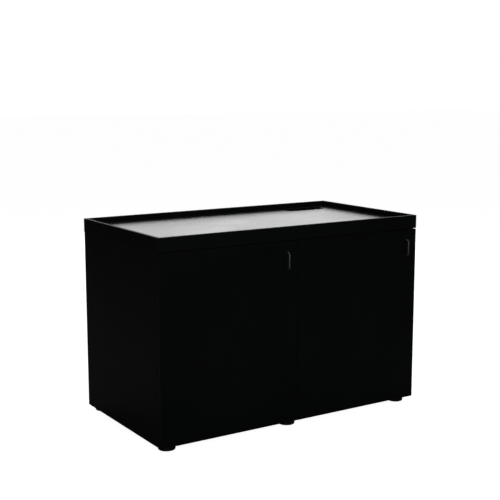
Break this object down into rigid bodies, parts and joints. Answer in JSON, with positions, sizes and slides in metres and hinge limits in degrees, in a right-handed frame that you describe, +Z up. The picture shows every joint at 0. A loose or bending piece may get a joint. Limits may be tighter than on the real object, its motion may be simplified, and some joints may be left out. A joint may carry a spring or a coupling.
{
  "type": "aquarium stand cabinet",
  "caption": "Black board cabinet on low round feet, with a rimmed recess for a rimless tank on top and side-hung doors with bow handles in front.",
  "frame": {"origin": "bottom centre of the whole box, handles included, on the floor under the feet", "axes": "+X to the viewer's right along the front, +Y from the doors to the back, +Z up"},
  "size_m": [1.2, 0.668, 0.795],
  "materials": {
    "carcass_laminate": "black melamine-faced board, satin, with black edge banding",
    "door_laminate": "black melamine-faced board, satin, with black edge banding",
    "rim_laminate": "black melamine-faced board, satin, with black edge banding",
    "handle_metal": "satin black powder coat",
    "foot_plastic": "black moulded plastic",
    "hinge_steel": "nickel-plated pressed steel",
    "screw_steel": "zinc-plated steel",
    "bumper_rubber": "clear soft polyurethane"
  },
  "bodies": {
    "carcass": {"bottom_panel": "carcass_laminate", "left_side_panel": "carcass_laminate", "right_side_panel": "carcass_laminate", "centre_divider": "carcass_laminate", "top_panel": "carcass_laminate", "front_rail_left": "carcass_laminate", "front_rail_right": "carcass_laminate", "back_panel_left": "carcass_laminate", "back_panel_right": "carcass_laminate", "rim_front": "rim_laminate", "rim_rear": "rim_laminate", "rim_left": "rim_laminate", "rim_right": "rim_laminate", "foot_front_left": "foot_plastic", "foot_front_centre": "foot_plastic", "foot_front_right": "foot_plastic", "foot_rear_left": "foot_plastic", "foot_rear_centre": "foot_plastic", "foot_rear_right": "foot_plastic", "foot_screw_front_left": "screw_steel", "foot_screw_front_centre": "screw_steel", "foot_screw_front_right": "screw_steel", "foot_screw_rear_left": "screw_steel", "foot_screw_rear_centre": "screw_steel", "foot_screw_rear_right": "screw_steel", "hinge_plate_left_lower": "hinge_steel", "hinge_arm_left_lower": "hinge_steel", "hinge_screw_left_lower": "hinge_steel", "hinge_plate_left_upper": "hinge_steel", "hinge_arm_left_upper": "hinge_steel", "hinge_screw_left_upper": "hinge_steel", "hinge_plate_right_lower": "hinge_steel", "hinge_arm_right_lower": "hinge_steel", "hinge_screw_right_lower": "hinge_steel", "hinge_plate_right_upper": "hinge_steel", "hinge_arm_right_upper": "hinge_steel", "hinge_screw_right_upper": "hinge_steel"},
    "left_links": {"hinge_link_left_lower": "hinge_steel", "hinge_link_left_upper": "hinge_steel"},
    "left_leaf": {"left_door": "door_laminate", "handle_left": "handle_metal", "handle_screw_left_lower": "screw_steel", "handle_screw_left_upper": "screw_steel", "hinge_cup_left_lower": "hinge_steel", "hinge_cup_left_upper": "hinge_steel", "bumper_left_lower": "bumper_rubber", "bumper_left_upper": "bumper_rubber"},
    "right_links": {"hinge_link_right_lower": "hinge_steel", "hinge_link_right_upper": "hinge_steel"},
    "right_leaf": {"right_door": "door_laminate", "handle_right": "handle_metal", "handle_screw_right_lower": "screw_steel", "handle_screw_right_upper": "screw_steel", "hinge_cup_right_lower": "hinge_steel", "hinge_cup_right_upper": "hinge_steel", "bumper_right_lower": "bumper_rubber", "bumper_right_upper": "bumper_rubber"}
  },
  "joints": [
    {"name": "left_link_swing", "type": "hinge", "parent": "carcass", "child": "left_links", "pos_m": [-0.568, -0.283, 0.38], "axis": [0, 0, 1], "range_deg": [0, 17.6]},
    {"name": "left_door_swing", "type": "hinge", "parent": "left_links", "child": "left_leaf", "pos_m": [-0.59, -0.2962, 0.38], "axis": [0, 0, -1], "range_deg": [0, 117]},
    {"name": "right_link_swing", "type": "hinge", "parent": "carcass", "child": "right_links", "pos_m": [0.0325, -0.283, 0.38], "axis": [0, 0, 1], "range_deg": [0, 17.6]},
    {"name": "right_door_swing", "type": "hinge", "parent": "right_links", "child": "right_leaf", "pos_m": [0.0105, -0.2962, 0.38], "axis": [0, 0, -1], "range_deg": [0, 117]}
  ],
  "couplings": [
    {"joint": "left_link_swing", "follows": "left_door_swing", "ratio": 0.15},
    {"joint": "right_link_swing", "follows": "right_door_swing", "ratio": 0.15}
  ]
}
